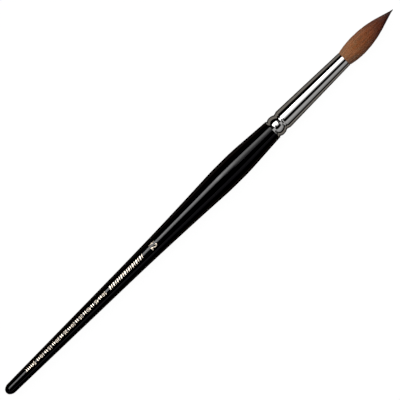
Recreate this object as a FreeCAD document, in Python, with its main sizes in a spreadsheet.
# A size 12 round watercolour brush, in millimetres, held level with its hair pointing to +X.
# The origin is on its axis, in the middle of the handle's thickest part, and +Z is up.
# Every sketch is half of a piece's outline, which is then turned about the brush's axis: the
# sketch's X runs along the brush from the tail's end, and its Y runs out from that axis.
import FreeCAD, Part
import math
import os
import Sketcher
from FreeCAD import Vector

PARTS = "parts"

# alias, millimetres, what it is
SIZES = (
    ("handle_length", 172.0, "tail's end to the ferrule's rim"),
    ("tail_nose_radius", 1.9, "rounding of the tail's very end"),
    ("tail_round_length", 3.8, "tail's end to where its rounding meets the long taper"),
    ("tail_radius", 2.63, "handle where the long taper starts"),
    ("taper_length", 73.5, "tail's end to where the straight taper ends"),
    ("taper_end_radius", 3.93, "handle where the straight taper ends"),
    ("belly_place", 144.4, "tail's end to the middle of the thickest part"),
    ("belly_radius", 6.3, "handle at its thickest"),
    ("belly_land", 5.0, "length of the true cylinder at the belly"),
    ("belly_round", 125.0, "curve on both sides of the belly"),
    ("coat_thickness", 0.2, "lacquer on the bare wood"),
    ("ferrule_length", 46.3, "rim to mouth"),
    ("ferrule_wall", 0.3, "the tube's wall"),
    ("rim_radius", 5.0, "outside of the rim"),
    ("rim_round", 0.15, "rounding from the rim into the first crimp"),
    ("crimp_place", 0.95, "rim to the first crimp's bottom"),
    ("crimp_radius", 4.55, "outside of the first crimp's bottom"),
    ("crimp_round", 0.35, "hollow of the first crimp"),
    ("bead_radius", 5.0, "outside of the bead between the crimps"),
    ("bead_round", 0.6, "rounding of the bead's two shoulders"),
    ("back_crimp_place", 5.2, "rim to the second crimp's bottom"),
    ("back_crimp_radius", 4.38, "outside of the second crimp's bottom"),
    ("back_crimp_round", 0.5, "hollow of the second crimp"),
    ("cone_place", 7.6, "rim to the start of the long cone"),
    ("cone_radius", 4.88, "outside of the long cone at its start"),
    ("mouth_radius", 3.8, "outside of the mouth"),
    ("wood_grip", 1.0, "start of the long cone that the wood fills"),
    ("tenon_length", 26.0, "wood inside the ferrule"),
    ("tenon_bevel", 0.6, "bevel on the tenon's end"),
    ("glue_film", 0.1, "glue between the tenon and the long cone"),
    ("hair_length", 32.2, "mouth to the hair's point"),
    ("hair_belly_place", 9.0, "mouth to the hair's thickest part"),
    ("hair_belly_radius", 4.75, "hair at its thickest"),
    ("hair_swell", 37.4, "curve from the mouth out to the hair's belly"),
    ("hair_close", 50.0, "curve from the hair's belly in towards its point"),
    ("flex_ball", 4.2, "round end of the held hair, about the mouth's centre"),
    ("flex_gap", 0.1, "gap between the held and the bending hair"),
    ("root_length", 15.0, "hair inside the ferrule"),
    ("root_end_radius", 2.9, "hair's root end, inside the resin"),
    ("resin_length", 5.0, "plug of resin around the root end"),
    ("resin_floor", 1.2, "resin behind the root end"),
    ("whip_place", 7.6, "mouth to the middle of the thread's recess"),
    ("whip_width", 2.4, "recess in the hair that the thread lies in"),
    ("whip_depth", 0.36, "depth of that recess"),
    ("thread_radius", 0.15, "binding thread"),
    ("thread_pitch", 0.36, "from one turn of the thread to the next"),
    ("thread_wound", 1.8, "length that the turns cover"),
)

document = FreeCAD.newDocument("round_brush")


class Size:
    """A size from the sheet: the expression that binds to it, and what it comes to."""

    def __init__(self, text, number):
        self.text = text
        self.number = number

    def joined(self, sign, other, number):
        return Size(f"({self.text} {sign} {other.text})", number)

    def __add__(self, other):
        return self.joined("+", other, self.number + other.number)

    def __sub__(self, other):
        return self.joined("-", other, self.number - other.number)

    def __mul__(self, other):
        return self.joined("*", other, self.number * other.number)

    def __truediv__(self, other):
        return self.joined("/", other, self.number / other.number)


def make_sheet():
    """The spreadsheet of driving sizes, one row each, and a Size for every row."""
    sheet = document.addObject("Spreadsheet::Sheet", "dims")
    found = {}
    for row, (alias, millimetres, meaning) in enumerate(SIZES, start=1):
        sheet.set(f"A{row}", alias)
        sheet.set(f"B{row}", str(millimetres))
        sheet.setAlias(f"B{row}", alias)
        sheet.set(f"C{row}", meaning)
        found[alias] = Size(f"dims.{alias}", millimetres)
    document.recompute()
    return found


size = make_sheet()
HALF = Size("0.5", 0.5)
NOTHING = Size("0", 0.0)

rim = size["handle_length"]
mouth = rim + size["ferrule_length"]
cone_start = rim + size["cone_place"]
grip_end = cone_start + size["wood_grip"]
tenon_end = rim + size["tenon_length"]
hair_point = mouth + size["hair_length"]
root_end = mouth - size["root_length"]
resin_back = root_end - size["resin_floor"]
resin_front = resin_back + size["resin_length"]
whip_middle = mouth - size["whip_place"]
neck_radius = size["rim_radius"] - size["ferrule_wall"] + size["coat_thickness"]


def outside(place):
    """The outside radius of the ferrule's long cone at a place along the brush."""
    narrowing = size["mouth_radius"] - size["cone_radius"]
    return size["cone_radius"] + narrowing * ((place - cone_start) / (mouth - cone_start))


def inside(place):
    """The inside radius of the same cone."""
    return outside(place) - size["ferrule_wall"]


class Outline:
    """Half of a piece's outline, drawn as edges that run from left to right or straight across."""

    def __init__(self, body, name):
        self.sketch = body.newObject("Sketcher::SketchObject", name)
        plane = next(each for each in body.Origin.OriginFeatures if each.Role == "XZ_Plane")
        self.sketch.AttachmentSupport = [(plane, "")]
        self.sketch.MapMode = "FlatFace"
        self.ends = {}

    def line(self, left, right):
        """A straight edge between two guessed points. Its left end is the sketch's point 1."""
        edge = self.sketch.addGeometry(Part.LineSegment(Vector(*left, 0), Vector(*right, 0)))
        self.ends[edge] = (1, 2)
        return edge

    def arc(self, left, right, radius, hollow=False):
        """A round edge between two guessed points, bulging away from the axis unless hollow."""
        chord = Vector(right[0] - left[0], right[1] - left[1], 0)
        reach = math.sqrt(max(radius**2 - (chord.Length / 2) ** 2, 0.0))
        outward = Vector(-chord.y, chord.x, 0).normalize()
        middle = Vector((left[0] + right[0]) / 2, (left[1] + right[1]) / 2, 0)
        centre = middle + outward * (reach if hollow else -reach)
        from_left = math.atan2(left[1] - centre.y, left[0] - centre.x)
        from_right = math.atan2(right[1] - centre.y, right[0] - centre.x)
        circle = Part.Circle(centre, Vector(0, 0, 1), radius)
        span = (from_left, from_right) if hollow else (from_right, from_left)
        edge = self.sketch.addGeometry(Part.ArcOfCircle(circle, *span))
        self.ends[edge] = (1, 2) if hollow else (2, 1)
        return edge

    def rule(self, kind, *where, bound=None):
        """One constraint, bound to a size if it has one."""
        if bound is None:
            self.sketch.addConstraint(Sketcher.Constraint(kind, *where))
            return
        index = self.sketch.addConstraint(Sketcher.Constraint(kind, *where, bound.number))
        self.sketch.setExpression(f"Constraints[{index}]", bound.text)

    def chain(self, *edges):
        """Join each edge's right end to the next one's left end."""
        for one, following in zip(edges, edges[1:]):
            self.rule("Coincident", one, self.ends[one][1], following, self.ends[following][0])

    def smooth(self, *edges):
        """Join edges as chain does, with no corner between them."""
        for one, following in zip(edges, edges[1:]):
            self.rule("Tangent", one, self.ends[one][1], following, self.ends[following][0])

    def place(self, edge, side, along=None, out=None):
        """Fix the left or right end of an edge, along the brush, out from its axis, or both."""
        point = self.ends[edge][0 if side == "left" else 1]
        if along is not None:
            self.rule("DistanceX", -1, 1, edge, point, bound=along)
        if out is NOTHING:
            self.rule("PointOnObject", edge, point, -1)
        elif out is not None:
            self.rule("DistanceY", -1, 1, edge, point, bound=out)

    def centre(self, edge, along, out):
        """Fix the centre of a round edge."""
        self.rule("DistanceX", -1, 1, edge, 3, bound=along)
        if out is NOTHING:
            self.rule("PointOnObject", edge, 3, -1)
        else:
            self.rule("DistanceY", -1, 1, edge, 3, bound=out)

    def centre_on_axis(self, edge):
        self.rule("PointOnObject", edge, 3, -1)

    def circle(self, along, out, radius):
        """A full circle."""
        centre = Vector(along.number, out.number, 0)
        edge = self.sketch.addGeometry(Part.Circle(centre, Vector(0, 0, 1), radius.number))
        self.centre(edge, along, out)
        self.round(edge, radius)

    def round(self, edge, radius):
        self.rule("Radius", edge, bound=radius)

    def loop(self, corners):
        """A closed outline of straight edges, through (along, out) sizes that fix each corner."""
        points = [(along.number, out.number) for along, out in corners]
        edges = [self.line(one, following) for one, following in zip(points, points[1:] + points[:1])]
        for edge, (along, out) in zip(edges, corners):
            self.place(edge, "left", along, out)
        self.chain(*edges, edges[0])

    def run(self, corners, joined_to=None):
        """Straight edges through such corners, not closed. The last corner is left to the caller.

        The first corner is the right end of the edge joined_to, where there is one."""
        points = [(along.number, out.number) for along, out in corners]
        edges = [self.line(one, following) for one, following in zip(points, points[1:])]
        for edge, (along, out) in list(zip(edges, corners))[joined_to is not None :]:
            self.place(edge, "left", along, out)
        self.chain(*([] if joined_to is None else [joined_to]), *edges)
        return edges

    def close_on_axis(self, first, first_side, last, last_side):
        """The edge along the axis that joins the two ends of the outline."""
        start = first, self.ends[first][0 if first_side == "left" else 1]
        stop = last, self.ends[last][0 if last_side == "left" else 1]
        axis = self.line((self.sketch.getPoint(*start).x, 0), (self.sketch.getPoint(*stop).x, 0))
        self.rule("Coincident", axis, 1, *start)
        self.rule("Coincident", axis, 2, *stop)


def make_body(node):
    """A body for one piece, placed so that the middle of the handle's belly is at the origin."""
    body = document.addObject("PartDesign::Body", node)
    body.Label = node
    body.setExpression(".Placement.Base.x", f"-{size['belly_place'].text}")
    return body


def turn(body, outline, kind, name):
    """Turn an outline right round the axis, as a Revolution that adds or a Groove that cuts."""
    document.recompute()
    feature = body.newObject(f"PartDesign::{kind}", name)
    feature.Profile = outline.sketch
    feature.ReferenceAxis = (outline.sketch, ["H_Axis"])
    feature.Angle = 360.0
    document.recompute()
    return feature


def draw_handle(outline, inset):
    """The turned handle from its rounded tail to the ferrule's rim, brought in by inset."""
    tail = (size["tail_round_length"], size["tail_radius"] - inset)
    swell = (size["taper_length"], size["taper_end_radius"] - inset)
    top = size["belly_radius"] - inset
    neck_end = (rim, neck_radius - inset)
    nose_radius = size["tail_nose_radius"] - inset
    bend = size["belly_round"] - inset
    land_start = size["belly_place"] - size["belly_land"] * HALF
    land_end = size["belly_place"] + size["belly_land"] * HALF

    def guess(along, out):
        return along.number, out.number

    bend_run = 7.0
    bend_end = top.number - bend_run**2 / (2 * bend.number)
    nose_end = (nose_radius.number * 1.2, nose_radius.number * 0.93)
    swell_end = (land_start.number - bend_run, bend_end)
    neck_start = (land_end.number + bend_run, bend_end)

    nose = outline.arc((inset.number, 0.0), nose_end, nose_radius.number)
    shoulder = outline.arc(nose_end, guess(*tail), 4.5)
    taper = outline.line(guess(*tail), guess(*swell))
    swelling = outline.arc(guess(*swell), swell_end, 1800.0, hollow=True)
    front = outline.arc(swell_end, guess(land_start, top), bend.number)
    belly = outline.line(guess(land_start, top), guess(land_end, top))
    back = outline.arc(guess(land_end, top), neck_start, bend.number)
    neck = outline.line(neck_start, guess(*neck_end))
    end = outline.line(guess(*neck_end), (rim.number, 0.0))

    outline.smooth(nose, shoulder, taper, swelling, front, belly, back, neck)
    outline.chain(neck, end)
    outline.place(nose, "left", inset, NOTHING)
    outline.centre_on_axis(nose)
    outline.round(nose, nose_radius)
    outline.place(taper, "left", *tail)
    outline.place(taper, "right", *swell)
    outline.round(front, bend)
    outline.place(belly, "left", land_start, top)
    outline.place(belly, "right", land_end, top)
    outline.round(back, bend)
    outline.place(neck, "right", *neck_end)
    outline.place(end, "right", rim, NOTHING)
    outline.close_on_axis(nose, "left", end, "right")


def draw_crimps(outline, lowered, stop):
    """The ferrule's outline from its rim, over the crimps and bead, along the cone to stop.

    Lowered is how far the whole outline is brought in. The first and last edges come back."""
    rim_out = size["rim_radius"] - lowered
    bead_out = size["bead_radius"] - lowered
    cone_out = size["cone_radius"] - lowered
    hollows = []
    for place, radius, rounding in (
        ("crimp_place", "crimp_radius", "crimp_round"),
        ("back_crimp_place", "back_crimp_radius", "back_crimp_round"),
    ):
        centre = (rim + size[place], size[radius] - lowered + size[rounding])
        hollows.append((centre, size[rounding]))

    def reach(hollow, flat, rounding, side):
        """Where a rounded edge starts to leave its flat, and where it meets the hollow."""
        (along, out), radius = hollow
        both = radius.number + rounding.number
        rise = out.number - (flat.number - rounding.number)
        run = side * math.sqrt(both**2 - rise**2)
        share = radius.number / both
        return (along.number + run, flat.number), (along.number + run * share, out.number - rise * share)

    first, second = hollows
    rim_edge, rim_foot = reach(first, rim_out, size["rim_round"], -1)
    bead_start, bead_foot = reach(first, bead_out, size["bead_round"], 1)
    bead_end, back_foot = reach(second, bead_out, size["bead_round"], -1)
    shoulder_foot = (second[0][0].number + 0.3, second[0][1].number - 0.4)

    lip = outline.line((rim.number, rim_out.number), rim_edge)
    lip_arc = outline.arc(rim_edge, rim_foot, size["rim_round"].number)
    crimp = outline.arc(rim_foot, bead_foot, first[1].number, hollow=True)
    bead_front = outline.arc(bead_foot, bead_start, size["bead_round"].number)
    bead = outline.line(bead_start, bead_end)
    bead_back = outline.arc(bead_end, back_foot, size["bead_round"].number)
    back_crimp = outline.arc(back_foot, shoulder_foot, second[1].number, hollow=True)
    shoulder = outline.arc(shoulder_foot, (cone_start.number, cone_out.number), 4.0)
    cone_end = outside(stop) - lowered
    cone = outline.line((cone_start.number, cone_out.number), (stop.number, cone_end.number))

    outline.smooth(lip, lip_arc, crimp, bead_front, bead, bead_back, back_crimp, shoulder, cone)
    outline.place(lip, "left", rim, rim_out)
    outline.place(lip, "right", out=rim_out)
    outline.round(lip_arc, size["rim_round"])
    outline.place(bead, "left", out=bead_out)
    outline.place(bead, "right", out=bead_out)
    outline.round(bead_front, size["bead_round"])
    outline.round(bead_back, size["bead_round"])
    for edge, (centre, rounding) in ((crimp, first), (back_crimp, second)):
        outline.round(edge, rounding)
        outline.centre(edge, *centre)
    outline.place(cone, "left", cone_start, cone_out)
    outline.place(cone, "right", stop, cone_end)
    return lip, cone


def draw_tube(outline, lowered):
    """The ferrule's whole outline down to the axis, brought in by lowered."""
    lip, cone = draw_crimps(outline, lowered, mouth)
    rim_face = outline.line((rim.number, 0.0), (rim.number, size["rim_radius"].number))
    mouth_face = outline.line((mouth.number, size["mouth_radius"].number), (mouth.number, 0.0))
    outline.chain(rim_face, lip)
    outline.chain(cone, mouth_face)
    outline.place(rim_face, "left", rim, NOTHING)
    outline.place(mouth_face, "right", mouth, NOTHING)
    outline.close_on_axis(rim_face, "left", mouth_face, "right")


def draw_tenon(outline):
    """The wood inside the ferrule: gripped by the crimps, then a cone with glue around it."""
    lip, grip = draw_crimps(outline, size["ferrule_wall"], grip_end)
    start = outline.line((rim.number, 0.0), (rim.number, size["rim_radius"].number))
    film = size["glue_film"]
    bevel_start = tenon_end - size["tenon_bevel"]
    corners = (
        (grip_end, inside(grip_end)),
        (grip_end, inside(grip_end) - film),
        (bevel_start, inside(bevel_start) - film),
        (tenon_end, inside(tenon_end) - film - size["tenon_bevel"]),
        (tenon_end, NOTHING),
    )
    outline.chain(start, lip)
    outline.place(start, "left", rim, NOTHING)
    edges = outline.run(corners, joined_to=grip)
    outline.place(edges[-1], "right", tenon_end, NOTHING)
    outline.close_on_axis(start, "left", edges[-1], "right")


def make_handle_core():
    """Bare hardwood, turned in one piece with the tenon that the ferrule grips."""
    body = make_body("handle_core")
    handle = Outline(body, "wood_outline")
    draw_handle(handle, size["coat_thickness"])
    turn(body, handle, "Revolution", "turned_handle")
    tenon = Outline(body, "tenon_outline")
    draw_tenon(tenon)
    turn(body, tenon, "Revolution", "turned_tenon")
    return body


def make_lacquer_coat():
    """The black lacquer that the bare wood was dipped in, from the tail to the ferrule's rim."""
    body = make_body("lacquer_coat")
    skin = Outline(body, "skin_outline")
    draw_handle(skin, NOTHING)
    turn(body, skin, "Revolution", "dipped_form")
    wood = Outline(body, "wood_outline")
    draw_handle(wood, size["coat_thickness"])
    turn(body, wood, "Groove", "room_for_wood")
    return body


def make_ferrule():
    """The seamless metal tube: rim, two crimps with a bead between them, and a long cone."""
    body = make_body("ferrule")
    tube = Outline(body, "tube_outline")
    draw_tube(tube, NOTHING)
    turn(body, tube, "Revolution", "drawn_tube")
    bore = Outline(body, "bore_outline")
    draw_tube(bore, size["ferrule_wall"])
    turn(body, bore, "Groove", "tube_bore")
    return body


def make_tenon_glue():
    """The film of glue between the tenon and the ferrule's long cone."""
    body = make_body("tenon_glue")
    film = Outline(body, "film_outline")
    bevel_start = tenon_end - size["tenon_bevel"]
    film.loop((
        (grip_end, inside(grip_end) - size["glue_film"]),
        (grip_end, inside(grip_end)),
        (bevel_start, inside(bevel_start)),
        (bevel_start, inside(bevel_start) - size["glue_film"]),
    ))
    turn(body, film, "Revolution", "glue_ring")
    return body


def make_resin_plug():
    """The cup of resin that the hair's root end is set in."""
    body = make_body("resin_plug")
    cup = Outline(body, "cup_outline")
    cup.loop((
        (resin_back, NOTHING),
        (resin_back, inside(resin_back)),
        (resin_front, inside(resin_front)),
        (resin_front, size["root_end_radius"]),
        (root_end, size["root_end_radius"]),
        (root_end, NOTHING),
    ))
    turn(body, cup, "Revolution", "resin_cup")
    return body


def flare_centre():
    """The centre of the curve that the hair follows from the mouth out to its belly."""
    return mouth + size["hair_belly_place"], size["hair_belly_radius"] - size["hair_swell"]


def flare_out(along):
    """How far out that curve is, at a distance from the mouth in millimetres, for a guess."""
    short = size["hair_belly_place"].number - along
    swell = size["hair_swell"].number
    return size["hair_belly_radius"].number - (swell - math.sqrt(swell**2 - short**2))


def make_hair_root():
    """The held part of the hair: from its root end in the resin to just outside the mouth."""
    body = make_body("hair_root")
    held = Outline(body, "held_outline")
    whip_start = whip_middle - size["whip_width"] * HALF
    whip_end = whip_middle + size["whip_width"] * HALF
    under_thread = inside(whip_end) - size["whip_depth"]
    edges = held.run((
        (root_end, NOTHING),
        (root_end, size["root_end_radius"]),
        (resin_front, size["root_end_radius"]),
        (resin_front, inside(resin_front)),
        (whip_start, inside(whip_start)),
        (whip_start, under_thread),
        (whip_end, under_thread),
        (whip_end, inside(whip_end)),
        (mouth, inside(mouth)),
        (mouth, inside(mouth) + size["ferrule_wall"]),
    ))
    ball = size["flex_ball"]
    leave = 1.3
    flare = held.arc((mouth.number, flare_out(0.0)), (mouth.number + leave, flare_out(leave)),
                     size["hair_swell"].number)
    end = held.arc((mouth.number + leave, flare_out(leave)), (mouth.number + ball.number, 0.0),
                   ball.number)
    held.chain(edges[-1], flare, end)
    held.place(flare, "left", along=mouth)
    held.centre(flare, *flare_centre())
    held.round(flare, size["hair_swell"])
    held.centre(end, mouth, NOTHING)
    held.round(end, ball)
    held.place(end, "right", out=NOTHING)
    held.close_on_axis(edges[0], "left", end, "right")
    turn(body, held, "Revolution", "bound_hair")
    return body


def make_binding_thread():
    """The thread wound round the hair inside the ferrule."""
    body = make_body("binding_thread")
    start = whip_middle - size["thread_wound"] * HALF
    under_thread = inside(whip_middle + size["whip_width"] * HALF) - size["whip_depth"]
    section = Outline(body, "thread_section")
    section.circle(start, under_thread + size["thread_radius"], size["thread_radius"])
    document.recompute()
    turns = body.newObject("PartDesign::AdditiveHelix", "turns")
    turns.Profile = section.sketch
    turns.ReferenceAxis = (section.sketch, ["H_Axis"])
    turns.Mode = "pitch-height-angle"
    turns.setExpression("Pitch", size["thread_pitch"].text)
    turns.setExpression("Height", size["thread_wound"].text)
    document.recompute()
    return body


def make_hair_tuft():
    """The free part of the hair, which bends about the mouth: its belly and its fine point."""
    body = make_body("hair_tuft")
    free = Outline(body, "tuft_outline")
    cup = size["flex_ball"] + size["flex_gap"]
    belly = mouth + size["hair_belly_place"]
    leave = 1.4
    foot = (mouth.number + leave, flare_out(leave))
    crown = (belly.number, size["hair_belly_radius"].number)
    needle_start = (hair_point.number - 9.0, 2.7)
    hollow = free.arc(foot, (mouth.number + cup.number, 0.0), cup.number)
    flare = free.arc(foot, crown, size["hair_swell"].number)
    closing = free.arc(crown, needle_start, size["hair_close"].number)
    needle = free.line(needle_start, (hair_point.number, 0.0))
    free.rule("Coincident", hollow, free.ends[hollow][0], flare, free.ends[flare][0])
    free.smooth(flare, closing, needle)
    free.centre(hollow, mouth, NOTHING)
    free.round(hollow, cup)
    free.place(hollow, "right", out=NOTHING)
    free.centre(flare, *flare_centre())
    free.place(flare, "right", along=belly)
    free.round(flare, size["hair_swell"])
    free.round(closing, size["hair_close"])
    free.place(needle, "right", hair_point, NOTHING)
    free.close_on_axis(hollow, "right", needle, "right")
    turn(body, free, "Revolution", "free_hair")
    return body


def check(body):
    """Stop unless every object of the document is sound, and so is this piece's one solid."""
    shape = body.Shape
    if shape.isNull() or not shape.isValid() or len(shape.Solids) != 1:
        raise RuntimeError(f"{body.Label} is not one sound solid")


def write(bodies):
    """Check everything first, then write each piece's STEP file."""
    document.recompute()
    for each in document.Objects:
        if {"Invalid", "Error"} & set(each.State):
            raise RuntimeError(f"{each.Label} failed: {each.State}")
    for body in bodies:
        check(body)
    for body in bodies:
        if body.Group[-1].TypeId == "PartDesign::Groove":
            before, after = body.Group[1].Shape.Volume, body.Shape.Volume
            if after >= before:
                raise RuntimeError(f"{body.Label}: the groove cut nothing")
    os.makedirs(PARTS, exist_ok=True)
    for body in bodies:
        body.Shape.exportStep(os.path.join(PARTS, f"{body.Label}.step"))
        box = body.Shape.optimalBoundingBox()
        print(f"{body.Label}: {body.Shape.Volume:.1f} mm3, X {box.XMin:.2f} to {box.XMax:.2f},"
              f" Z {box.ZMin:.2f} to {box.ZMax:.2f}")


write([
    make_handle_core(),
    make_lacquer_coat(),
    make_ferrule(),
    make_tenon_glue(),
    make_resin_plug(),
    make_hair_root(),
    make_binding_thread(),
    make_hair_tuft(),
])
